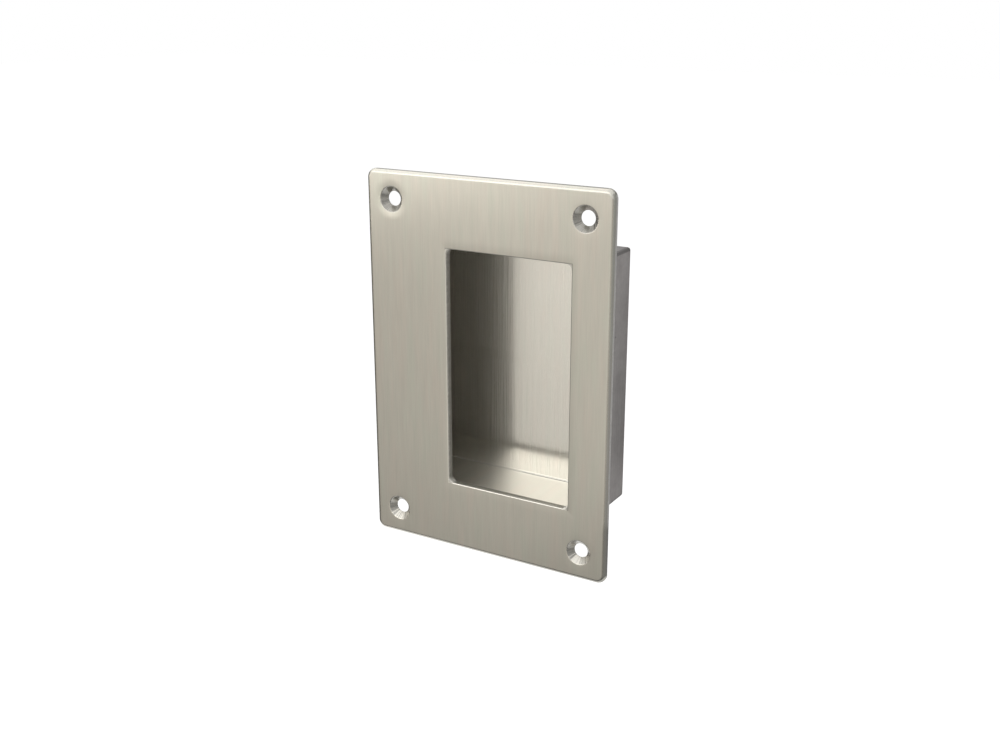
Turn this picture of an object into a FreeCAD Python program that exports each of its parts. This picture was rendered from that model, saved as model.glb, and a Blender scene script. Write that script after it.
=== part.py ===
import FreeCAD, Part
import math
import os
import Sketcher

# Recessed pull handle in brushed stainless steel, in millimetres.
# A flat face plate with an offset window is screwed over a pocket in a sliding door or a drawer front.
# A shallow pan behind it makes the room for the fingers, which hook behind the plate's broad side.
#
# Frame: X to the right, +Z up, the face looks along -Y. The origin is the centre of the screw pattern,
# on the plate's back, which is the surface that lies against the door.

SIZES = [
    ("plate_width", 88.9, "face plate, left to right"),
    ("plate_height", 127.0, "face plate, bottom to top"),
    ("plate_thickness", 2.3, "stock that the face plate is blanked from"),
    ("plate_corner_radius", 3.0, "corners of the plate's outline"),
    ("front_edge_round", 1.4, "rolled front edge of the plate"),
    ("rear_edge_break", 0.2, "burr taken off the plate's back edge"),
    ("window_width", 45.0, "opening for the fingers"),
    ("window_height", 80.0, "opening for the fingers"),
    ("window_right_margin", 13.7, "from the window to the plate's right edge"),
    ("window_corner_radius", 2.0, "corners of the window"),
    ("window_rim_round", 0.3, "front rim of the window, softened by the brushing belt"),
    ("screw_side_margin", 9.5, "from a screw's centre to the plate's left or right edge"),
    ("screw_end_margin", 9.4, "from a screw's centre to the plate's top or bottom edge"),
    ("screw_hole_diameter", 4.8, "clearance for the screw's shank"),
    ("countersink_diameter", 8.4, "mouth of the countersink"),
    ("countersink_angle", 82.0, "degrees, the full angle of the screw's head"),
    ("countersink_rim_round", 0.5, "mouth of the countersink, softened by the brushing belt"),
    ("pan_side_margin", 5.1, "from the pan's outside to the plate's left or right edge"),
    ("pan_end_clearance", 1.2, "from the window to the inside of the pan, at the top and the bottom"),
    ("pan_depth", 21.6, "outside of the pan, from the plate's back"),
    ("pan_wall", 0.8, "sheet that the pan is folded from"),
    ("pan_bend_radius", 0.2, "inside of the pan's folds and welded corners"),
    ("weld_leg", 1.0, "fillet weld that joins the pan to the plate"),
]

# Sizes that follow from the ones above, written as expressions of the sheet.
PAN_WIDTH = "Sizes.plate_width - 2 * Sizes.pan_side_margin"
PAN_HEIGHT = "Sizes.window_height + 2 * (Sizes.pan_end_clearance + Sizes.pan_wall)"
PAN_CORNER = "Sizes.pan_bend_radius + Sizes.pan_wall"

# The weld's face leans 45 degrees: the bead narrows away from the plate.
WELD_TAPER = -45.0

QUARTER_TURN = math.pi / 2
TOLERANCE = 1e-4


def fill_sheet(doc):
    """Writes each driving dimension into a cell of its own, with its name as alias."""
    sheet = doc.addObject("Spreadsheet::Sheet", "Sizes")
    for row, (alias, value, note) in enumerate(SIZES, start=1):
        sheet.set(f"A{row}", alias)
        sheet.set(f"B{row}", str(value))
        sheet.set(f"C{row}", note)
        sheet.setAlias(f"B{row}", alias)
    doc.recompute()
    return sheet


def new_body(doc, label):
    """Makes an empty body at the frame's origin."""
    body = doc.addObject("PartDesign::Body", label)
    body.Label = label
    body.Placement = FreeCAD.Placement()
    return body


def new_sketch(body, name, distance=None):
    """Attaches a sketch to the body's XZ plane: X to the right, Z up, its normal along -Y.

    distance is an expression: how far in front of the plane the sketch stands.
    """
    plane = next(item for item in body.Origin.OriginFeatures if item.Role == "XZ_Plane")
    sketch = body.newObject("Sketcher::SketchObject", name)
    sketch.AttachmentSupport = [(plane, "")]
    sketch.MapMode = "FlatFace"
    if distance:
        sketch.setExpression("AttachmentOffset.Base.z", distance)
    return sketch


def bind(sketch, name, index, expression):
    """Names a dimension of the sketch and ties it to the sheet."""
    sketch.renameConstraint(index, name)
    sketch.setExpression(f"Constraints.{name}", expression)


def draw_rounded_rectangle(sketch, width, height, radius, right_edge=None):
    """Draws a rectangle with equal round corners; its four sizes are expressions of the sheet.

    It is centred on the origin, or only upright where right_edge gives the place of its right side.
    """
    half, r = 20.0, 2.0
    v = FreeCAD.Vector
    along_z = v(0, 0, 1)
    inner = half - r
    # sides, anticlockwise from the bottom one
    bottom = sketch.addGeometry(Part.LineSegment(v(-inner, -half, 0), v(inner, -half, 0)))
    right = sketch.addGeometry(Part.LineSegment(v(half, -inner, 0), v(half, inner, 0)))
    top = sketch.addGeometry(Part.LineSegment(v(inner, half, 0), v(-inner, half, 0)))
    left = sketch.addGeometry(Part.LineSegment(v(-half, inner, 0), v(-half, -inner, 0)))
    sides = [bottom, right, top, left]
    # corners, each between one side and the next
    centres = [(inner, -inner), (inner, inner), (-inner, inner), (-inner, -inner)]
    corners = []
    for turn, (x, y) in enumerate(centres):
        circle = Part.Circle(v(x, y, 0), along_z, r)
        start = (turn - 1) * QUARTER_TURN
        corners.append(sketch.addGeometry(Part.ArcOfCircle(circle, start, start + QUARTER_TURN)))
    for turn in range(4):
        following = sides[(turn + 1) % 4]
        sketch.addConstraint(Sketcher.Constraint("Tangent", sides[turn], 2, corners[turn], 1))
        sketch.addConstraint(Sketcher.Constraint("Tangent", corners[turn], 2, following, 1))
    for side in (bottom, top):
        sketch.addConstraint(Sketcher.Constraint("Horizontal", side))
    for side in (right, left):
        sketch.addConstraint(Sketcher.Constraint("Vertical", side))
    for corner in corners[1:]:
        sketch.addConstraint(Sketcher.Constraint("Equal", corners[0], corner))
    bind(sketch, "radius", sketch.addConstraint(Sketcher.Constraint("Radius", corners[0], r)), radius)
    across = sketch.addConstraint(Sketcher.Constraint("DistanceX", left, 1, right, 1, 2 * half))
    bind(sketch, "width", across, width)
    upright = sketch.addConstraint(Sketcher.Constraint("DistanceY", bottom, 1, top, 1, 2 * half))
    bind(sketch, "height", upright, height)
    # the origin is point 1 of geometry -1
    place = sketch.addConstraint(Sketcher.Constraint("DistanceX", -1, 1, right, 1, half))
    bind(sketch, "right_edge", place, right_edge or f"({width}) / 2")
    level = sketch.addConstraint(Sketcher.Constraint("DistanceY", -1, 1, top, 1, half))
    bind(sketch, "top_edge", level, f"({height}) / 2")


def draw_screw_pattern(sketch, half_across, half_upright, diameter):
    """Draws four equal circles, one in each quarter, mirrored about both axes."""
    v = FreeCAD.Vector
    along_z = v(0, 0, 1)
    x, y, r = 30.0, 50.0, 2.0
    quarters = [(x, y), (-x, y), (-x, -y), (x, -y)]
    circles = [sketch.addGeometry(Part.Circle(v(a, b, 0), along_z, r)) for a, b in quarters]
    first, second, third, fourth = circles
    for other in circles[1:]:
        sketch.addConstraint(Sketcher.Constraint("Equal", first, other))
    # geometry -1 is the X axis and -2 the upright one
    sketch.addConstraint(Sketcher.Constraint("Symmetric", first, 3, second, 3, -2))
    sketch.addConstraint(Sketcher.Constraint("Symmetric", first, 3, fourth, 3, -1))
    sketch.addConstraint(Sketcher.Constraint("Symmetric", second, 3, third, 3, -1))
    size = sketch.addConstraint(Sketcher.Constraint("Diameter", first, 2 * r))
    bind(sketch, "diameter", size, diameter)
    across = sketch.addConstraint(Sketcher.Constraint("DistanceX", -1, 1, first, 3, x))
    bind(sketch, "half_across", across, half_across)
    upright = sketch.addConstraint(Sketcher.Constraint("DistanceY", -1, 1, first, 3, y))
    bind(sketch, "half_upright", upright, half_upright)


def new_pad(body, name, sketch, length, backwards=False, taper=None):
    """Pads a sketch along its normal, towards the front, or backwards into the door."""
    pad = body.newObject("PartDesign::Pad", name)
    pad.Profile = sketch
    pad.setExpression("Length", length)
    pad.Reversed = backwards
    if taper is not None:
        pad.TaperAngle = taper
    return pad


def edges_in_plane(shape, depth, accept=None):
    """Names the edges that lie wholly at one depth along Y, or those of them that accept picks."""
    names = []
    for number, edge in enumerate(shape.Edges, start=1):
        box = edge.BoundBox
        flat = abs(box.YMin - depth) < TOLERANCE and abs(box.YMax - depth) < TOLERANCE
        if flat and (accept is None or accept(edge)):
            names.append(f"Edge{number}")
    return names


def round_edges(body, name, base, edges, radius):
    """Rounds edges of the body's last feature; the radius is an expression of the sheet."""
    fillet = body.newObject("PartDesign::Fillet", name)
    fillet.Base = (base, edges)
    fillet.setExpression("Radius", radius)
    return fillet


def break_edges(body, name, base, edges, size):
    """Breaks edges of the body's last feature with a small 45 degree chamfer."""
    chamfer = body.newObject("PartDesign::Chamfer", name)
    chamfer.Base = (base, edges)
    chamfer.setExpression("Size", size)
    return chamfer


def check_cut(before, after):
    """Stops where a cut points away from the metal and removes nothing."""
    if after.Shape.Volume > before.Shape.Volume - TOLERANCE:
        raise RuntimeError(f"{after.Label} cuts nothing")


def build_face_plate(doc, sheet):
    """The plate: outline, window, rolled front edge, broken back edge and countersunk holes."""
    body = new_body(doc, "face_plate")

    outline = new_sketch(body, "plate_outline")
    draw_rounded_rectangle(outline, "Sizes.plate_width", "Sizes.plate_height", "Sizes.plate_corner_radius")
    blank = new_pad(body, "plate_blank", outline, "Sizes.plate_thickness")
    doc.recompute()

    front = -sheet.plate_thickness
    rolled = round_edges(
        body, "rolled_front_edge", blank, edges_in_plane(blank.Shape, front), "Sizes.front_edge_round"
    )
    doc.recompute()
    plate = break_edges(
        body, "broken_back_edge", rolled, edges_in_plane(rolled.Shape, 0.0), "Sizes.rear_edge_break"
    )
    doc.recompute()

    window = new_sketch(body, "window_outline")
    draw_rounded_rectangle(
        window,
        "Sizes.window_width",
        "Sizes.window_height",
        "Sizes.window_corner_radius",
        right_edge="Sizes.plate_width / 2 - Sizes.window_right_margin",
    )
    opening = body.newObject("PartDesign::Pocket", "window_cut")
    opening.Profile = window
    opening.Type = "ThroughAll"
    opening.Reversed = True
    doc.recompute()
    check_cut(plate, opening)

    window_right = sheet.plate_width / 2 - sheet.window_right_margin
    window_left = window_right - sheet.window_width
    window_top = sheet.window_height / 2

    def on_window(edge):
        centre = edge.CenterOfMass
        across = window_left - TOLERANCE < centre.x < window_right + TOLERANCE
        return across and abs(centre.z) < window_top + TOLERANCE

    window_rim = edges_in_plane(opening.Shape, front, on_window)
    softened = round_edges(body, "window_rim", opening, window_rim, "Sizes.window_rim_round")
    doc.recompute()

    centres = new_sketch(body, "screw_centres", "Sizes.plate_thickness")
    draw_screw_pattern(
        centres,
        "Sizes.plate_width / 2 - Sizes.screw_side_margin",
        "Sizes.plate_height / 2 - Sizes.screw_end_margin",
        "Sizes.screw_hole_diameter",
    )
    doc.recompute()
    holes = body.newObject("PartDesign::Hole", "screw_holes")
    holes.Profile = centres
    holes.ThreadType = 0
    holes.HoleCutType = 2
    holes.HoleCutCustomValues = True
    holes.DepthType = 1
    holes.setExpression("Diameter", "Sizes.screw_hole_diameter")
    holes.setExpression("HoleCutDiameter", "Sizes.countersink_diameter")
    holes.setExpression("HoleCutCountersinkAngle", "Sizes.countersink_angle")
    doc.recompute()
    check_cut(softened, holes)

    def on_countersink(edge):
        round_one = isinstance(edge.Curve, Part.Circle)
        return round_one and abs(edge.Curve.Radius - sheet.countersink_diameter / 2) < TOLERANCE

    mouths = edges_in_plane(holes.Shape, front, on_countersink)
    round_edges(body, "countersink_rims", holes, mouths, "Sizes.countersink_rim_round")
    doc.recompute()
    return body


def build_recess_pan(doc, sheet):
    """The pan: a box folded from sheet, open to the front, with its corners welded and dressed."""
    body = new_body(doc, "recess_pan")

    outside = new_sketch(body, "pan_outside")
    draw_rounded_rectangle(outside, PAN_WIDTH, PAN_HEIGHT, PAN_CORNER)
    block = new_pad(body, "pan_block", outside, "Sizes.pan_depth", backwards=True)
    doc.recompute()

    round_edges(
        body, "folded_back_edges", block, edges_in_plane(block.Shape, sheet.pan_depth), PAN_CORNER
    )
    doc.recompute()

    # the weld lies in the corner between the pan's outside and the plate's back
    bead_outline = new_sketch(body, "weld_outline")
    draw_rounded_rectangle(
        bead_outline,
        f"{PAN_WIDTH} + 2 * Sizes.weld_leg",
        f"{PAN_HEIGHT} + 2 * Sizes.weld_leg",
        f"{PAN_CORNER} + Sizes.weld_leg",
    )
    welded = new_pad(body, "weld_bead", bead_outline, "Sizes.weld_leg", backwards=True, taper=WELD_TAPER)
    doc.recompute()

    inside = new_sketch(body, "pan_inside")
    draw_rounded_rectangle(
        inside,
        f"{PAN_WIDTH} - 2 * Sizes.pan_wall",
        f"{PAN_HEIGHT} - 2 * Sizes.pan_wall",
        "Sizes.pan_bend_radius",
    )
    hollow = body.newObject("PartDesign::Pocket", "pan_hollow")
    hollow.Profile = inside
    hollow.setExpression("Length", "Sizes.pan_depth - Sizes.pan_wall")
    doc.recompute()
    check_cut(welded, hollow)

    inner_back = sheet.pan_depth - sheet.pan_wall
    round_edges(
        body, "inner_folds", hollow, edges_in_plane(hollow.Shape, inner_back), "Sizes.pan_bend_radius"
    )
    doc.recompute()
    return body


def check_document(doc, bodies):
    """Stops where a feature failed or a body has no valid solid."""
    for item in doc.Objects:
        if "Invalid" in item.State or "Error" in item.State:
            raise RuntimeError(f"{item.Label} failed: {item.State}")
    for body in bodies:
        if body.Shape.isNull() or not body.Shape.isValid() or len(body.Shape.Solids) != 1:
            raise RuntimeError(f"{body.Label} is not one valid solid")


def main():
    doc = FreeCAD.newDocument("recessed_pull")
    sheet = fill_sheet(doc)
    bodies = [build_face_plate(doc, sheet), build_recess_pan(doc, sheet)]
    doc.recompute()
    check_document(doc, bodies)
    os.makedirs("parts", exist_ok=True)
    for body in bodies:
        body.Shape.exportStep(f"parts/{body.Label}.step")
        print(f"{body.Label}: volume {body.Shape.Volume:.1f} mm3, {body.Shape.optimalBoundingBox()}")


main()
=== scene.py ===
import math

import bpy
from mathutils import Matrix, Vector

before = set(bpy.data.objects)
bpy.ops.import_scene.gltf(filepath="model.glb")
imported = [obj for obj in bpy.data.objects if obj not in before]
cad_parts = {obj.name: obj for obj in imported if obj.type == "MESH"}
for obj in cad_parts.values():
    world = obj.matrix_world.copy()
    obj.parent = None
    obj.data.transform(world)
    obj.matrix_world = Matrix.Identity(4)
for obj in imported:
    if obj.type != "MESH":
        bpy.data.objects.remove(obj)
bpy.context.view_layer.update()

# Recessed pull handle in brushed stainless steel. Lengths are in metres, except inside the materials,
# which work in millimetres of the part's own frame.
MILLIMETRE = 0.001

# Camera, fitted to the photograph
IMAGE_WIDTH = 1000
FOCAL_PIXELS = 1198.5
SENSOR_WIDTH = 36.0
CAMERA_PLACE = Vector((0.19056, -0.31636, 0.11827))
CAMERA_YAW = math.radians(30.468)
CAMERA_PITCH = math.radians(17.809)
CAMERA_ROLL = math.radians(-0.013)

# Sizes of the plate that the materials need, in millimetres
PLATE_HALF_WIDTH = 44.45
PLATE_HALF_HEIGHT = 63.5
EDGE_ROUND = 1.4
ROUND_X = PLATE_HALF_WIDTH - EDGE_ROUND
ROUND_Z = PLATE_HALF_HEIGHT - EDGE_ROUND
SCREW_X = 34.95
SCREW_Z = 54.1
COUNTERSINK_RADIUS = 4.2
COUNTERSINK_RIM = 4.43
BORE_RADIUS = 2.4
WINDOW_CENTRE = 8.25
WINDOW_HALF_WIDTH = 22.5
WINDOW_HALF_HEIGHT = 40.0
WINDOW_RIGHT = WINDOW_CENTRE + WINDOW_HALF_WIDTH

# Sizes of the pan that the materials need, in millimetres
PAN_WALL_MIDDLE_X = 38.95
PAN_WALL_MIDDLE_Z = 41.6
PAN_BACK_MIDDLE = 21.2
PAN_INNER_BACK = 20.8
PAN_FLOOR = -41.2
PAN_OUTSIDE_X = 39.35
PAN_OUTSIDE_Z = 42.0
PAN_OUTSIDE_BACK = 21.6
WELD_LEG = 1.0

# Colours, linear
PLATE_COLOUR = (0.655, 0.634, 0.570)
PLATE_WARM = (0.685, 0.634, 0.570)
PLATE_GREEN = (0.635, 0.645, 0.570)
PLATE_SIDE = (0.600, 0.588, 0.550)
# painted highlight on the rear rim of the plate's sides
REAR_RIM_HIGHLIGHT = (0.880, 0.866, 0.832)
CUT_METAL = (0.500, 0.487, 0.452)
SINK_METAL = (0.470, 0.457, 0.420)
# painted highlight in the lower halves of the two lower countersinks
SINK_HIGHLIGHT = (0.880, 0.850, 0.770)
MILL_METAL = (0.700, 0.685, 0.650)
# painted highlight and painted shade on the window's rim
RIM_HIGHLIGHT = (0.900, 0.880, 0.815)
RIM_SHADE = (0.400, 0.390, 0.360)
PAN_INSIDE = (0.760, 0.741, 0.689)
PAN_WARM = (0.785, 0.735, 0.680)
PAN_GREEN = (0.740, 0.752, 0.689)
PAN_OUTSIDE = (0.620, 0.588, 0.574)
PAN_SMUDGE = (0.540, 0.508, 0.498)
PAN_SPECK = (0.160, 0.150, 0.150)
# painted highlight along the fold where the pan's back meets its floor
FOLD_LIGHT = (0.970, 0.950, 0.900)
WELD_METAL = (0.520, 0.500, 0.460)
WELD_HEAT = (0.480, 0.420, 0.320)

# Warm white of the lamps and of most cards, and plain white of the background and the cards behind
LIGHT_COLOUR = (1.0, 0.965, 0.900)
PLAIN_WHITE = (1.0, 1.0, 1.0)
FLOOR_COLOUR = (0.8, 0.8, 0.8)

# Anisotropy is the same all over each piece
PLATE_ANISOTROPY = 0.9
PAN_ANISOTROPY = 0.6

# Nearly all values of a noise lie in the wide range. The narrow one gives more contrast.
WIDE = (0.3, 0.7)
NARROW = (0.35, 0.65)

# A face counts as turned to an axis as that part of its normal goes through this range
TURNS_TO_AXIS = (0.6, 0.9)

# Streaks and tints, as shares of the colour
FINE_STREAKS = 0.03
BROAD_STREAKS = 0.018
PAN_STREAKS = 0.012
PLATE_TINTING = 0.5
PAN_TINTING = 0.3

# Painted shade and highlights on the plate, as shares of its brightness
SIDE_EDGE_SHADE = 0.08
SIDE_EDGE_SHADE_BELOW_PAN = 0.30
LEFT_EDGE_SHADE = 0.18
TOP_EDGE_HIGHLIGHT = 0.09
BOTTOM_EDGE_SHADE_LEFT = 0.04
BOTTOM_EDGE_SHADE_RIGHT = 0.34
WINDOW_EDGE_SHADE = 0.08
LOWER_RIGHT_BRIGHTNESS = 0.90
UPPER_RIGHT_BRIGHTNESS = 0.955
SIDE_BRIGHTNESS_BELOW_PAN = 0.82

# Heights between which painted shade darkens the plate's sides below the pan's foot, in millimetres
BELOW_PAN = (-41.0, -45.0)

# Painted shade and light on the pan, as shares of its brightness
CREASE_SHADE = 0.72
BEND_SHADE = 0.46
TOP_FACE_SHADED_BRIGHTNESS = 0.83
FLOOR_LIT_BRIGHTNESS = 1.09

# Roughness
PLATE_ROUGHNESS = (0.29, 0.35)
EDGE_ROUGHNESS = 0.26
SIDE_ROUGHNESS = 0.42
BACK_ROUGHNESS = 0.55
SINK_ROUGHNESS = (0.24, 0.34)
BORE_ROUGHNESS = 0.45
CUT_ROUGHNESS = (0.5, 0.65)
THREAD_ROUGHNESS = (0.12, 0.36)
FLOOR_ROUGHNESS = 0.35
BEND_ROUGHNESS = 0.40
OUTSIDE_ROUGHNESS = (0.32, 0.48)
WELD_ROUGHNESS = 0.30

# Relief in the materials, in millimetres
FURROW_DEPTH = 0.012
PAN_FURROW_DEPTH = 0.001
ROLL_WIDTH = 3.2
ROLL_DEPTH = 0.06
DIP_WIDTH = 2.5
SMALL_DIP = 0.02
LARGE_DIP = 0.045
RIPPLE_HEIGHT = 0.03

# Slopes along x in the relief of the pan's floor and back. Both are flat in the CAD, and the slopes turn
# their reflections to where the photograph has them.
FLOOR_TILT = 0.09
WALL_TILT = 0.018

# A dark speck on the pan's right side, in millimetres
SPECK_Y = 11.9
SPECK_Z = 15.1
SPECK_RADIUS = 0.35

# Light of the world and the floor
WORLD_STRENGTH = 0.6
FLOOR_GLOW = 0.55
FLOOR_LEVEL = -0.30


class Graph:
    """Builds a node tree. Methods take sockets, numbers or tuples, and return the new node's output."""

    def __init__(self, tree):
        self.tree = tree
        tree.nodes.clear()

    def node(self, kind, **settings):
        made = self.tree.nodes.new(kind)
        for name, value in settings.items():
            setattr(made, name, value)
        return made

    def feed(self, socket, value):
        if isinstance(value, bpy.types.NodeSocket):
            self.tree.links.new(value, socket)
        elif socket.type == "RGBA":
            socket.default_value = (*value, 1.0)
        else:
            socket.default_value = value

    def math(self, operation, *values):
        made = self.node("ShaderNodeMath", operation=operation)
        for socket, value in zip(made.inputs, values):
            self.feed(socket, value)
        return made.outputs[0]

    def add(self, first, second):
        return self.math("ADD", first, second)

    def sub(self, first, second):
        return self.math("SUBTRACT", first, second)

    def mul(self, first, second):
        return self.math("MULTIPLY", first, second)

    def largest(self, first, second):
        return self.math("MAXIMUM", first, second)

    def absolute(self, value):
        return self.math("ABSOLUTE", value)

    def opposite(self, mask):
        return self.math("SUBTRACT", 1.0, mask)

    def length(self, first, second):
        return self.math("SQRT", self.add(self.mul(first, first), self.mul(second, second)))

    def ramp(self, kind, value, start, end, low, high):
        made = self.node("ShaderNodeMapRange", interpolation_type=kind)
        settings = {"Value": value, "From Min": start, "From Max": end, "To Min": low, "To Max": high}
        for name, number in settings.items():
            self.feed(made.inputs[name], number)
        return made.outputs["Result"]

    def step(self, value, start, end, low=0.0, high=1.0):
        """Goes smoothly from low to high as value goes from start to end, and stays there."""
        return self.ramp("SMOOTHSTEP", value, start, end, low, high)

    def line(self, value, start, end, low=0.0, high=1.0):
        """Goes straight from low to high as value goes from start to end, and stays there."""
        return self.ramp("LINEAR", value, start, end, low, high)

    def streak(self, grain, strength):
        """A share to add to the brightness, from minus strength to strength."""
        return self.line(grain, *WIDE, -strength, strength)

    def vector(self, x, y, z):
        made = self.node("ShaderNodeCombineXYZ")
        for socket, value in zip(made.inputs, (x, y, z)):
            self.feed(socket, value)
        return made.outputs[0]

    def split(self, value):
        made = self.node("ShaderNodeSeparateXYZ")
        self.feed(made.inputs[0], value)
        return tuple(made.outputs)

    def vector_math(self, operation, first, second):
        made = self.node("ShaderNodeVectorMath", operation=operation)
        self.feed(made.inputs[0], first)
        self.feed(made.inputs[1], second)
        return made.outputs[0]

    def shifted(self, value, offset):
        return self.vector_math("ADD", value, offset)

    def scaled(self, value, factors):
        return self.vector_math("MULTIPLY", value, factors)

    def brighter(self, colour, factor):
        made = self.node("ShaderNodeVectorMath", operation="SCALE")
        self.feed(made.inputs[0], colour)
        self.feed(made.inputs["Scale"], factor)
        return made.outputs[0]

    def darker(self, colour, mask, share=1.0):
        """Takes a share of the brightness away where the mask is 1."""
        return self.brighter(colour, self.sub(1.0, self.mul(mask, share)))

    def noise(self, place, scale=1.0, detail=2.0):
        made = self.node("ShaderNodeTexNoise", noise_dimensions="3D")
        self.feed(made.inputs["Vector"], place)
        self.feed(made.inputs["Scale"], scale)
        self.feed(made.inputs["Detail"], detail)
        self.feed(made.inputs["Roughness"], 0.5)
        return made.outputs["Fac"]

    def mix(self, factor, first, second):
        made = self.node("ShaderNodeMix", data_type="RGBA")
        self.feed(made.inputs[0], factor)
        self.feed(made.inputs[6], first)
        self.feed(made.inputs[7], second)
        return made.outputs[2]

    def mix_number(self, factor, first, second):
        made = self.node("ShaderNodeMix", data_type="FLOAT")
        self.feed(made.inputs[0], factor)
        self.feed(made.inputs[2], first)
        self.feed(made.inputs[3], second)
        return made.outputs[0]

    def place_mm(self):
        """The point on the part, in millimetres."""
        coordinates = self.node("ShaderNodeTexCoord")
        in_a_metre = 1.0 / MILLIMETRE
        return self.scaled(coordinates.outputs["Object"], (in_a_metre, in_a_metre, in_a_metre))

    def normal(self):
        return self.node("ShaderNodeNewGeometry").outputs["Normal"]

    def grain(self, place, width, length, detail=2.0):
        """Streaks that run up and down: width across them and length along them, in millimetres."""
        squeezed = self.scaled(place, (1.0 / width, 1.0 / width, 1.0 / length))
        return self.noise(squeezed, detail=detail)

    def across_grain(self, normal):
        """The level direction in the surface. Brushing up and down spreads reflections along it.

        The small shift gives level faces a direction too, so that their grain runs into the door.
        """
        level = self.vector_math("CROSS_PRODUCT", (0.0, 0.0, 1.0), normal)
        return self.shifted(level, (0.001, 0.0, 0.0))

    def bump(self, height):
        """The normal of a relief whose height is in millimetres."""
        made = self.node("ShaderNodeBump")
        self.feed(made.inputs["Strength"], 1.0)
        self.feed(made.inputs["Distance"], MILLIMETRE)
        self.feed(made.inputs["Height"], height)
        return made.outputs["Normal"]

    def metal(self, colour, roughness, anisotropy, tangent, bumped_normal):
        made = self.node("ShaderNodeBsdfPrincipled")
        made.inputs["Metallic"].default_value = 1.0
        made.inputs["Anisotropic"].default_value = anisotropy
        self.feed(made.inputs["Base Color"], colour)
        self.feed(made.inputs["Roughness"], roughness)
        self.feed(made.inputs["Tangent"], tangent)
        self.feed(made.inputs["Normal"], bumped_normal)
        self.finish(made.outputs[0])

    def finish(self, shader):
        output = self.node("ShaderNodeOutputMaterial")
        self.feed(output.inputs["Surface"], shader)


def new_material(name):
    material = bpy.data.materials.new(name)
    material.use_nodes = True
    return material, Graph(material.node_tree)


class PlateZones:
    """Patterns, distances and zones that the plate's colour, roughness and relief share."""

    def __init__(self, g):
        place = g.place_mm()
        self.normal = g.normal()
        self.x, self.y, self.z = g.split(place)
        self.normal_x, self.normal_y, self.normal_z = g.split(self.normal)

        # streaks of the brushing from fine to broad, tints, and the patterns of bare and of sheared metal
        self.fine = g.grain(place, 0.20, 7.0, detail=3.0)
        self.medium = g.grain(place, 0.6, 16.0)
        self.broad = g.grain(g.shifted(place, (40.0, 0.0, 10.0)), 2.2, 22.0, detail=1.0)
        self.tint = g.grain(g.shifted(place, (0.0, 90.0, 70.0)), 3.2, 20.0)
        self.mottle = g.noise(place, scale=0.9, detail=3.0)
        self.sheared = g.noise(g.scaled(place, (2.6, 0.35, 2.6)))

        # distances from the nearest screw's centre and from the window
        self.from_screw_x = g.sub(g.absolute(self.x), SCREW_X)
        self.from_screw_z = g.sub(g.absolute(self.z), SCREW_Z)
        self.screw_radius = g.length(self.from_screw_x, self.from_screw_z)
        self.beyond_window_x = g.sub(g.absolute(g.sub(self.x, WINDOW_CENTRE)), WINDOW_HALF_WIDTH)
        self.beyond_window_z = g.sub(g.absolute(self.z), WINDOW_HALF_HEIGHT)
        self.beyond_window = g.largest(self.beyond_window_x, self.beyond_window_z)

        # marks of the countersink's cutter: rings, and chatter that changes around the hole
        self.turned = g.noise(g.vector(g.mul(self.screw_radius, 3.5), 0.0, 0.0))
        angle = g.math("ARCTAN2", self.from_screw_z, self.from_screw_x)
        around = g.vector(g.math("COSINE", angle), g.math("SINE", angle), g.mul(self.x, 0.02))
        self.chatter = g.noise(around, scale=7.0, detail=1.5)

        # zones, 1 inside each and 0 outside it
        self.front = g.step(g.mul(self.normal_y, -1.0), 0.93, 0.995)
        self.back = g.step(self.normal_y, *TURNS_TO_AXIS)
        sunk = g.step(self.screw_radius, COUNTERSINK_RADIUS + 0.12, COUNTERSINK_RADIUS - 0.05)
        self.sunk = g.mul(sunk, g.opposite(self.back))
        self.bore = g.step(self.screw_radius, BORE_RADIUS + 0.12, BORE_RADIUS + 0.02)
        self.cut = g.step(self.beyond_window, 0.10, 0.02)
        side_x = g.step(g.absolute(self.x), PLATE_HALF_WIDTH - 0.05, PLATE_HALF_WIDTH - 0.01)
        side_z = g.step(g.absolute(self.z), PLATE_HALF_HEIGHT - 0.05, PLATE_HALF_HEIGHT - 0.01)
        self.side = g.largest(side_x, side_z)
        self.below_pan = g.mul(g.step(self.z, *BELOW_PAN), g.step(self.x, 0.0, 1.0))


def brushed_colour(g, plate):
    """The satin steel of the front, with warm and green stretches and streaks."""
    warmth = g.mul(g.step(plate.tint, 0.50, 0.70), PLATE_TINTING)
    greenness = g.mul(g.step(plate.tint, 0.50, 0.30), PLATE_TINTING)
    colour = g.mix(warmth, PLATE_COLOUR, PLATE_WARM)
    colour = g.mix(greenness, colour, PLATE_GREEN)
    streaks = g.add(g.streak(plate.fine, FINE_STREAKS), g.streak(plate.medium, BROAD_STREAKS))
    streaks = g.add(streaks, g.streak(plate.broad, BROAD_STREAKS))
    return g.brighter(colour, g.add(streaks, 1.0))


def with_sides(g, plate, colour):
    """The sheared sides, mottled, with painted shade below the pan."""
    side_colour = g.brighter(PLATE_SIDE, g.line(plate.mottle, *WIDE, 0.88, 1.12))
    # painted shade below the pan
    below_pan = g.step(plate.z, *BELOW_PAN, 1.0, SIDE_BRIGHTNESS_BELOW_PAN)
    side_colour = g.brighter(side_colour, below_pan)
    return g.mix(plate.side, colour, side_colour)


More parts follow.
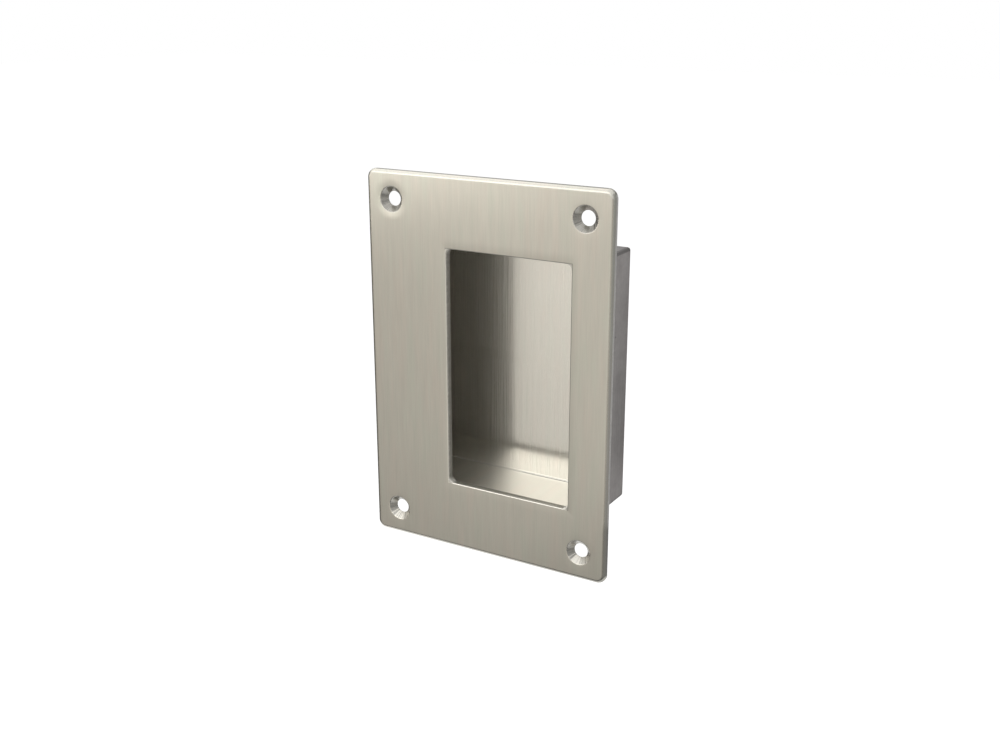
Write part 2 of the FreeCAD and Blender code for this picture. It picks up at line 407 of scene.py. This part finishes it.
def with_rolled_edges(g, plate, colour):
    """Rounded front edges: painted shade at the sides, painted highlights at the top and the rear rim."""
    from_middle = g.absolute(plate.x)
    turned_aside = g.absolute(plate.normal_x)
    edge_side = g.mul(g.step(turned_aside, 0.06, 0.30), g.step(from_middle, ROUND_X - 0.05, ROUND_X + 0.15))
    edge_left = g.mul(g.step(plate.normal_x, -0.03, -0.16), g.step(plate.x, 0.15 - ROUND_X, -0.05 - ROUND_X))
    edge_left = g.mul(edge_left, g.step(plate.z, -62.0, -52.0, 0.2, 1.0))
    # painted shade on the rounded side edges, stronger below the pan and at the left
    painted_edge_shade = g.mul(edge_side, g.mix_number(plate.below_pan, SIDE_EDGE_SHADE, SIDE_EDGE_SHADE_BELOW_PAN))
    painted_edge_shade = g.add(painted_edge_shade, g.mul(edge_left, LEFT_EDGE_SHADE))
    colour = g.darker(colour, painted_edge_shade)
    # painted highlight along the top edge
    edge_top = g.mul(g.step(plate.normal_z, 0.06, 0.30), g.step(plate.z, ROUND_Z - 0.4, ROUND_Z))
    colour = g.brighter(colour, g.add(1.0, g.mul(edge_top, TOP_EDGE_HIGHLIGHT)))
    # painted highlight on the rear rim of the sides, mostly taken away below the pan
    rear_rim_highlight = g.mul(g.step(turned_aside, 0.84, 0.93), g.step(from_middle, ROUND_X + 0.15, ROUND_X + 0.35))
    rear_rim_highlight = g.mul(rear_rim_highlight, g.step(plate.y, -1.35, -1.10))
    rear_rim_highlight = g.mul(rear_rim_highlight, g.sub(1.0, g.mul(plate.below_pan, 0.85)))
    return g.mix(rear_rim_highlight, colour, g.brighter(REAR_RIM_HIGHLIGHT, g.line(plate.mottle, *WIDE, 0.90, 1.10)))


def with_back(g, plate, colour):
    """The back keeps the sheet's mill finish."""
    mill_colour = g.brighter(MILL_METAL, g.line(plate.mottle, *WIDE, 0.94, 1.05))
    return g.mix(g.mul(plate.back, 0.9), colour, mill_colour)


def with_countersinks(g, plate, colour):
    """Turned countersinks. The lower halves of the two lower ones carry a painted highlight."""
    shade = g.mul(g.line(plate.chatter, *NARROW, 0.88, 1.12), g.line(plate.turned, *WIDE, 0.94, 1.06))
    # painted highlight in the lower halves of the two lower countersinks, streaked by the chatter
    sink_highlight = g.mul(g.step(plate.from_screw_z, 0.6, 1.8), g.step(plate.z, 1.0, -1.0))
    from_screw_right = g.mul(plate.from_screw_x, g.math("SIGN", plate.x))
    sink_highlight = g.mul(sink_highlight, g.step(from_screw_right, 1.3, 0.0, 0.35, 0.9))
    sink_highlight = g.mul(sink_highlight, g.step(plate.chatter, 0.42, 0.54, 0.3, 1.0))
    sink_colour = g.mix(sink_highlight, SINK_METAL, SINK_HIGHLIGHT)
    return g.mix(plate.sunk, colour, g.brighter(sink_colour, shade))


def with_window_rim(g, plate, colour):
    """The window's rim: painted highlight at the left and below, painted shade at the right and above, and
    painted shade on the plate around it.
    """
    rim = g.mul(g.step(plate.beyond_window, 0.34, 0.24), g.opposite(plate.back))
    # painted shade on the rim at the right and above, a painted highlight elsewhere
    shaded_right = g.step(plate.x, WINDOW_RIGHT - 0.45, WINDOW_RIGHT + 0.05)
    shaded_top = g.step(plate.z, WINDOW_HALF_HEIGHT - 0.4, WINDOW_HALF_HEIGHT)
    rim_colour = g.mix(g.largest(shaded_right, shaded_top), RIM_HIGHLIGHT, RIM_SHADE)
    colour = g.mix(rim, colour, rim_colour)
    # painted shade on the plate just above and right of the window
    shade_above_window = g.mul(g.line(plate.beyond_window_z, 0.0, 3.4, 1.0, 0.0), g.step(plate.z, 0.0, 1.0))
    shade_right_of_window = g.line(plate.beyond_window, 0.0, 2.6, 0.8, 0.0)
    shade_right_of_window = g.mul(shade_right_of_window, g.step(plate.x, WINDOW_RIGHT - 0.75, WINDOW_RIGHT + 0.25))
    level_with_window = g.step(g.absolute(plate.z), WINDOW_HALF_HEIGHT + 2.0, WINDOW_HALF_HEIGHT)
    shade_right_of_window = g.mul(shade_right_of_window, level_with_window)
    painted_window_shade = g.mul(g.largest(shade_above_window, shade_right_of_window), g.step(plate.beyond_window_x, 1.0, 0.0))
    return g.darker(colour, g.largest(painted_window_shade, shade_right_of_window), WINDOW_EDGE_SHADE)


def with_uneven_shade(g, plate, colour):
    """Painted shade: the right corners and the bottom edge are a little darker than the rest."""
    to_lower_right = g.sub(plate.x, plate.z)
    to_upper_right = g.add(plate.x, plate.z)
    colour = g.brighter(colour, g.step(to_lower_right, 60.0, 100.0, 1.0, LOWER_RIGHT_BRIGHTNESS))
    colour = g.brighter(colour, g.step(to_upper_right, 58.0, 96.0, 1.0, UPPER_RIGHT_BRIGHTNESS))
    edge_bottom = g.mul(g.step(plate.normal_z, -0.05, -0.20), g.step(plate.normal_z, -0.70, -0.45))
    edge_bottom = g.mul(edge_bottom, g.step(plate.z, 0.2 - ROUND_Z, -0.1 - ROUND_Z))
    edge_shade = g.line(plate.x, -30.0, 36.0, BOTTOM_EDGE_SHADE_LEFT, BOTTOM_EDGE_SHADE_RIGHT)
    return g.darker(colour, edge_bottom, edge_shade)


def with_cut_window(g, plate, colour):
    """The window's cut edge, streaked through the plate, with a painted highlight just behind the rim."""
    # the sheared streaks, and a painted highlight towards the window's front rim
    shade = g.mul(g.line(plate.sheared, *WIDE, 0.82, 1.18), g.line(plate.y, -2.1, -1.2, 1.7, 1.0))
    return g.mix(plate.cut, colour, g.brighter(CUT_METAL, shade))


def plate_roughness(g, plate):
    roughness = g.line(plate.fine, *WIDE, *PLATE_ROUGHNESS)
    roughness = g.mix_number(g.opposite(plate.front), roughness, EDGE_ROUGHNESS)
    roughness = g.mix_number(plate.side, roughness, SIDE_ROUGHNESS)
    roughness = g.mix_number(plate.back, roughness, BACK_ROUGHNESS)
    roughness = g.mix_number(plate.sunk, roughness, g.line(plate.chatter, *NARROW, *SINK_ROUGHNESS))
    roughness = g.mix_number(plate.bore, roughness, BORE_ROUGHNESS)
    return g.mix_number(plate.cut, roughness, g.line(plate.sheared, *WIDE, *CUT_ROUGHNESS))


def plate_relief(g, plate):
    """Furrows, the window's drawn-in edge and the belt's dip at the screw holes."""
    furrows = g.add(g.mul(plate.fine, 0.6), g.mul(plate.medium, 0.4))
    furrows = g.mix_number(plate.sunk, furrows, g.mul(g.add(plate.chatter, plate.turned), 0.6))
    at_edge = g.line(plate.beyond_window, 0.0, ROLL_WIDTH, 1.0, 0.0)
    drawn_in = g.mul(g.mul(at_edge, at_edge), ROLL_DEPTH)
    near_hole = g.line(plate.screw_radius, COUNTERSINK_RIM, COUNTERSINK_RIM + DIP_WIDTH, 1.0, 0.0)
    near_hole = g.mul(near_hole, near_hole)
    top_left = g.mul(g.step(plate.x, 0.0, -1.0), g.step(plate.z, 0.0, 1.0))
    dip = g.mul(near_hole, g.mix_number(top_left, SMALL_DIP, LARGE_DIP))
    flat_front = g.mul(plate.front, g.opposite(plate.sunk))
    height = g.sub(g.mul(furrows, FURROW_DEPTH), g.mul(g.add(drawn_in, dip), flat_front))
    return g.bump(height)


def plate_steel():
    """Satin plate: brushed up and down with a belt, with bare cut edges and turned countersinks."""
    material, g = new_material("plate_brushed_steel")
    plate = PlateZones(g)
    colour = brushed_colour(g, plate)
    colour = with_sides(g, plate, colour)
    colour = with_rolled_edges(g, plate, colour)
    colour = with_back(g, plate, colour)
    colour = with_countersinks(g, plate, colour)
    colour = with_window_rim(g, plate, colour)
    colour = with_uneven_shade(g, plate, colour)
    colour = with_cut_window(g, plate, colour)
    tangent = g.across_grain(plate.normal)
    g.metal(colour, plate_roughness(g, plate), PLATE_ANISOTROPY, tangent, plate_relief(g, plate))
    return material


class PanZones:
    """Patterns and zones that the pan's colour, roughness and relief share."""

    def __init__(self, g):
        place = g.place_mm()
        self.normal = g.normal()
        self.x, self.y, self.z = g.split(place)
        self.normal_x, self.normal_y, self.normal_z = g.split(self.normal)

        # on the walls the grain runs up and down; on the floor and the ceiling it runs into the door;
        # the threads are narrower than a pixel
        self.level = g.step(g.absolute(self.normal_z), 0.68, 0.72)
        turned_place = g.vector(self.x, self.z, self.y)
        grain_place = g.mix(self.level, place, turned_place)
        self.threads = g.grain(grain_place, 0.016, 40.0, detail=0.0)
        self.fine = g.grain(g.shifted(grain_place, (7.3, 3.1, 0.0)), 0.30, 130.0)
        self.medium = g.grain(grain_place, 1.1, 200.0)
        self.tint = g.grain(g.shifted(grain_place, (20.0, 60.0, 30.0)), 3.0, 14.0, detail=1.0)
        self.cloud = g.noise(place, scale=0.11, detail=3.0)
        self.mottle = g.noise(place, scale=0.8, detail=3.0)

        # zones, 1 inside each and 0 outside it
        inside_x = g.math("LESS_THAN", g.absolute(self.x), PAN_WALL_MIDDLE_X)
        inside_z = g.math("LESS_THAN", g.absolute(self.z), PAN_WALL_MIDDLE_Z)
        inside_y = g.math("LESS_THAN", self.y, PAN_BACK_MIDDLE)
        self.inside = g.mul(g.mul(inside_x, inside_z), inside_y)
        self.outside_x = g.math("GREATER_THAN", g.absolute(self.x), PAN_OUTSIDE_X + 0.01)
        outside_z = g.math("GREATER_THAN", g.absolute(self.z), PAN_OUTSIDE_Z + 0.01)
        at_plate = g.step(self.y, WELD_LEG, WELD_LEG - 0.15)
        self.weld = g.mul(g.largest(self.outside_x, outside_z), at_plate)
        steepest = g.largest(g.absolute(self.normal_x), g.absolute(self.normal_y))
        steepest = g.largest(steepest, g.absolute(self.normal_z))
        self.bend = g.step(steepest, 0.985, 0.90)


def inner_colour(g, pan):
    """The bright inside, with painted light on the floor and painted shade low on the walls; where the back
    meets the floor, a painted shadow in the crease and a painted highlight.
    """
    warmth = g.mul(g.step(pan.tint, 0.5, 0.72), PAN_TINTING)
    greenness = g.mul(g.step(pan.tint, 0.5, 0.28), PAN_TINTING)
    colour = g.mix(warmth, PAN_INSIDE, PAN_WARM)
    colour = g.mix(greenness, colour, PAN_GREEN)
    streaks = g.add(g.streak(pan.fine, PAN_STREAKS), g.streak(pan.medium, PAN_STREAKS))
    # painted light on the floor, painted shade towards the bottom of the walls
    shade = g.mix_number(pan.level, g.line(pan.z, -38.0, 20.0, 0.93, 0.99), FLOOR_LIT_BRIGHTNESS)
    colour = g.brighter(colour, g.add(streaks, shade))
    # painted shadow in the crease where the back meets the floor
    crease = g.mul(pan.inside, g.step(pan.y, PAN_INNER_BACK - 0.75, PAN_INNER_BACK - 0.60))
    crease = g.mul(crease, g.step(pan.z, PAN_FLOOR + 0.15, PAN_FLOOR + 0.05))
    crease = g.mul(crease, g.step(pan.x, -6.0, 8.0, 0.25, 1.0))
    colour = g.darker(colour, crease, CREASE_SHADE)
    # painted highlight along the fold
    fold_light = g.mul(pan.inside, g.step(pan.z, PAN_FLOOR + 0.70, PAN_FLOOR + 0.55))
    fold_light = g.mul(fold_light, g.step(pan.y, PAN_INNER_BACK - 0.24, PAN_INNER_BACK - 0.16))
    fold_light = g.mul(fold_light, g.step(pan.x, -8.0, 6.0, 0.25, 1.0))
    return g.mix(fold_light, colour, FOLD_LIGHT)


def outer_colour(g, pan):
    """The duller outside: clouded, stained and specked at the right, with the weld; painted shade towards
    the back, on the top face and at its bends, painted light near the top and the bottom.
    """
    colour = g.mix(g.mul(g.step(pan.cloud, 0.38, 0.68), 0.8), PAN_OUTSIDE, PAN_SMUDGE)
    colour = g.brighter(colour, g.line(pan.mottle, *WIDE, 0.94, 1.06))
    # painted shade towards the back, and painted light near the top and the bottom
    colour = g.brighter(colour, g.line(pan.y, 3.0, 20.5, 1.10, 0.82))
    colour = g.brighter(colour, g.step(pan.z, 22.0, 40.0, 0.95, 1.12))
    colour = g.brighter(colour, g.step(pan.z, -22.0, -40.0, 1.0, 1.10))
    stain = g.mul(g.step(g.add(pan.z, g.mul(pan.y, 0.8)), 24.0, 6.0), g.step(pan.z, -36.0, -22.0))
    stain = g.mul(g.mul(stain, g.step(pan.y, 7.0, 15.0)), g.step(pan.normal_x, *TURNS_TO_AXIS))
    colour = g.darker(colour, stain, g.line(pan.fine, *NARROW, 0.06, 0.20))
    # painted shade on the top face
    colour = g.brighter(colour, g.step(pan.normal_z, *TURNS_TO_AXIS, 1.0, TOP_FACE_SHADED_BRIGHTNESS))
    # painted shade at the bends
    to_side_x = g.sub(g.absolute(pan.x), PAN_OUTSIDE_X)
    to_side_z = g.sub(g.absolute(pan.z), PAN_OUTSIDE_Z)
    to_back = g.sub(pan.y, PAN_OUTSIDE_BACK)
    near_bend = g.largest(g.add(to_side_x, to_side_z), g.add(to_side_x, to_back))
    near_bend = g.step(near_bend, -1.25, -0.90)
    colour = g.darker(colour, g.largest(near_bend, pan.bend), BEND_SHADE)
    from_speck = g.length(g.sub(pan.y, SPECK_Y), g.sub(pan.z, SPECK_Z))
    speck = g.mul(g.step(from_speck, SPECK_RADIUS, SPECK_RADIUS * 0.4), g.step(pan.x, 0.0, 1.0))
    colour = g.mix(g.mul(speck, 0.7), colour, PAN_SPECK)
    heat = g.mul(g.opposite(pan.inside), g.step(g.add(pan.y, g.mul(pan.mottle, 1.5)), 4.0, 1.5))
    colour = g.mix(g.mul(heat, 0.25), colour, WELD_HEAT)
    return g.mix(pan.weld, colour, g.brighter(WELD_METAL, g.line(pan.mottle, *WIDE, 0.85, 1.15)))


def pan_roughness(g, pan):
    """Inside, the threads mix sharp and blurred reflections."""
    inner = g.line(pan.threads, 0.42, 0.58, *THREAD_ROUGHNESS)
    inner = g.add(inner, g.streak(pan.fine, 0.01))
    inner = g.mix_number(pan.level, inner, FLOOR_ROUGHNESS)
    inner = g.mix_number(pan.bend, inner, BEND_ROUGHNESS)
    patches = g.add(g.mul(pan.cloud, 0.6), g.mul(pan.fine, 0.4))
    outer = g.line(patches, *NARROW, *OUTSIDE_ROUGHNESS)
    roughness = g.mix_number(pan.inside, outer, inner)
    return g.mix_number(pan.weld, roughness, WELD_ROUGHNESS)


def pan_relief(g, pan):
    """Furrows, the weld's ripples, and the slopes that turn the floor's and the back's reflections."""
    along_weld = g.mix_number(pan.outside_x, pan.x, pan.z)
    ripples = g.math("SINE", g.add(g.mul(along_weld, 5.0), g.mul(pan.mottle, 5.0)))
    furrows = g.mul(g.mul(g.add(pan.fine, pan.medium), 0.5), PAN_FURROW_DEPTH)
    height = g.mix_number(pan.weld, furrows, g.mul(ripples, RIPPLE_HEIGHT))
    on_floor = g.mul(g.mul(pan.level, pan.inside), g.step(pan.z, 0.0, -1.0))
    height = g.sub(height, g.mul(g.mul(pan.x, FLOOR_TILT), on_floor))
    on_back = g.mul(pan.inside, g.step(pan.normal_y, -0.90, -0.97))
    height = g.sub(height, g.mul(g.mul(pan.x, WALL_TILT), on_back))
    return g.bump(height)


def pan_steel():
    """Folded pan: bright and half mirror inside, duller outside, with a weld bead at the plate."""
    material, g = new_material("pan_folded_steel")
    pan = PanZones(g)
    colour = g.mix(pan.inside, outer_colour(g, pan), inner_colour(g, pan))
    tangent = g.across_grain(pan.normal)
    g.metal(colour, pan_roughness(g, pan), PAN_ANISOTROPY, tangent, pan_relief(g, pan))
    return material


def white_to_the_eye(g, plain):
    """The world's strength: 1 for camera, glossy and transmission rays, and plain for the others."""
    path = g.node("ShaderNodeLightPath")
    seen = g.largest(path.outputs["Is Camera Ray"], path.outputs["Is Glossy Ray"])
    seen = g.largest(seen, path.outputs["Is Transmission Ray"])
    return g.mix_number(seen, plain, 1.0)


def make_world():
    """White behind the object and in its reflections, plain grey light on everything else."""
    world = bpy.data.worlds.new("studio")
    world.use_nodes = True
    g = Graph(world.node_tree)
    background = g.node("ShaderNodeBackground")
    g.feed(background.inputs["Color"], PLAIN_WHITE)
    g.feed(background.inputs["Strength"], white_to_the_eye(g, WORLD_STRENGTH))
    output = g.node("ShaderNodeOutputWorld")
    g.feed(output.inputs["Surface"], background.outputs[0])
    bpy.context.scene.world = world


def make_sheet(name, centre, across, upright):
    """A flat sheet for the studio; across and upright are half of its sides."""
    centre = Vector(centre)
    across = Vector(across)
    upright = Vector(upright)
    corners = [
        centre - across - upright,
        centre + across - upright,
        centre + across + upright,
        centre - across + upright,
    ]
    mesh = bpy.data.meshes.new(name)
    mesh.from_pydata([tuple(corner) for corner in corners], [], [(0, 1, 2, 3)])
    sheet = bpy.data.objects.new(name, mesh)
    bpy.context.scene.collection.objects.link(sheet)
    return sheet


def make_floor():
    """Pale floor below the part. It is white to the camera and keeps the part's shadow."""
    floor = make_sheet("floor", (0, 0, FLOOR_LEVEL), (6, 0, 0), (0, 6, 0))
    material, g = new_material("pale_floor")
    diffuse = g.node("ShaderNodeBsdfDiffuse")
    g.feed(diffuse.inputs["Color"], FLOOR_COLOUR)
    path = g.node("ShaderNodeLightPath")
    glow = g.node("ShaderNodeEmission")
    g.feed(glow.inputs["Color"], PLAIN_WHITE)
    g.feed(glow.inputs["Strength"], g.mul(path.outputs["Is Camera Ray"], FLOOR_GLOW))
    both = g.node("ShaderNodeAddShader")
    g.feed(both.inputs[0], diffuse.outputs[0])
    g.feed(both.inputs[1], glow.outputs[0])
    g.finish(both.outputs[0])
    floor.data.materials.append(material)
    floor.visible_glossy = False


def make_card(name, centre, across, upright, shade, colour=LIGHT_COLOUR):
    """A reflection card: it shows only in the metal. shade(g, x, y, z) gives its brightness."""
    card = make_sheet(name, centre, across, upright)
    material, g = new_material(name)
    place = g.node("ShaderNodeNewGeometry").outputs["Position"]
    glow = g.node("ShaderNodeEmission")
    g.feed(glow.inputs["Color"], colour)
    g.feed(glow.inputs["Strength"], shade(g, *g.split(place)))
    g.finish(glow.outputs[0])
    card.data.materials.append(material)
    card.visible_camera = False
    card.visible_diffuse = False
    card.visible_shadow = False


def front_shade(g, x, y, z):
    """The table in front: dim at the left, far right and foot, with a bright spill at the upper left."""
    upper = g.line(z, -0.85, -0.20, 0.735, 0.855)
    lower = g.step(z, -1.07, -0.77, -0.33, 0.0)
    across = g.mul(g.line(x, -1.9, -0.2, 0.38, 1.36), g.step(x, 0.50, -0.15, 0.50, 1.0))
    table = g.mul(g.add(upper, lower), across)
    spill = g.mul(g.step(x, -0.93, -1.38), g.step(z, -0.27, -0.21))
    return g.mix_number(spill, table, 5.0)


def right_shade(g, x, y, z):
    """The room at the right, a little dimmer towards the back."""
    return g.line(y, -1.0, 1.0, 0.44, 0.36)


def left_shade(g, x, y, z):
    """The room at the left, dim and a little brighter at the front."""
    return g.step(y, -1.2, -0.9, 0.26, 0.14)


def low_shade(g, x, y, z):
    """The table below, dark in front and bright under the part."""
    return g.step(y, -0.85, -0.45, 0.18, 1.05)


def back_shade(g, x, y, z):
    """Dim behind the part, darkest at the upper right."""
    base = g.line(z, -1.0, 0.6, 0.38, 0.45)
    corner = g.mul(g.step(x, -0.2, 0.6), g.step(z, 0.2, 0.9))
    return g.mix_number(corner, base, 0.17)


def make_cards():
    make_card("front_card", (0, -1.5, -0.61), (2.5, 0, 0), (0, 0, 0.59), front_shade)
    make_card("right_card", (1.5, 0, 0), (0, 1.5, 0), (0, 0, 1.6), right_shade, PLAIN_WHITE)
    make_card("left_card", (-1.6, 0.15, -0.3), (0, 1.35, 0), (0, 0, 0.9), left_shade)
    make_card("low_card", (0, 0, -1.2), (2.5, 0, 0), (0, 1.5, 0), low_shade, PLAIN_WHITE)
    make_card("back_card", (0, 1.5, 0), (2.5, 0, 0), (0, 0, 1.6), back_shade, PLAIN_WHITE)


def make_lamp(name, place, width, height, watts):
    """A softbox that looks at the part's middle."""
    light = bpy.data.lights.new(name, "AREA")
    light.shape = "RECTANGLE"
    light.size = width
    light.size_y = height
    light.energy = watts
    light.color = LIGHT_COLOUR
    lamp = bpy.data.objects.new(name, light)
    lamp.location = place
    lamp.rotation_euler = (-Vector(place)).to_track_quat("-Z", "Y").to_euler()
    bpy.context.scene.collection.objects.link(lamp)


def make_lamps():
    make_lamp("key_lamp", (-0.69, -0.95, 0.66), width=1.3, height=0.9, watts=2.2)
    make_lamp("top_lamp", (-0.75, 0.05, 1.25), width=1.2, height=1.0, watts=1.5)
    make_lamp("low_lamp", (-0.70, -1.07, 0.36), width=0.9, height=0.45, watts=1.3)


def make_camera():
    """The photograph's camera."""
    level = Vector((-math.sin(CAMERA_YAW), math.cos(CAMERA_YAW), 0.0))
    forward = level * math.cos(CAMERA_PITCH) - Vector((0, 0, math.sin(CAMERA_PITCH)))
    right = forward.cross(Vector((0, 0, 1))).normalized()
    up = right.cross(forward)
    right_rolled = right * math.cos(CAMERA_ROLL) + up * math.sin(CAMERA_ROLL)
    up_rolled = up * math.cos(CAMERA_ROLL) - right * math.sin(CAMERA_ROLL)
    turn = Matrix((right_rolled, up_rolled, -forward)).transposed()
    data = bpy.data.cameras.new("camera")
    data.sensor_fit = "HORIZONTAL"
    data.sensor_width = SENSOR_WIDTH
    data.lens = FOCAL_PIXELS * SENSOR_WIDTH / IMAGE_WIDTH
    data.clip_start = 0.01
    data.clip_end = 50.0
    camera = bpy.data.objects.new("camera", data)
    camera.matrix_world = Matrix.Translation(CAMERA_PLACE) @ turn.to_4x4()
    bpy.context.scene.collection.objects.link(camera)
    bpy.context.scene.camera = camera


def dress(node, material):
    """Gives a CAD node its finished material."""
    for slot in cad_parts[node].material_slots:
        slot.material = material


make_camera()
make_world()
make_floor()
make_cards()
make_lamps()
dress("face_plate", plate_steel())
dress("recess_pan", pan_steel())
bpy.context.scene.view_settings.view_transform = "Standard"


def plain(box):
    return [list(corner) for corner in box]
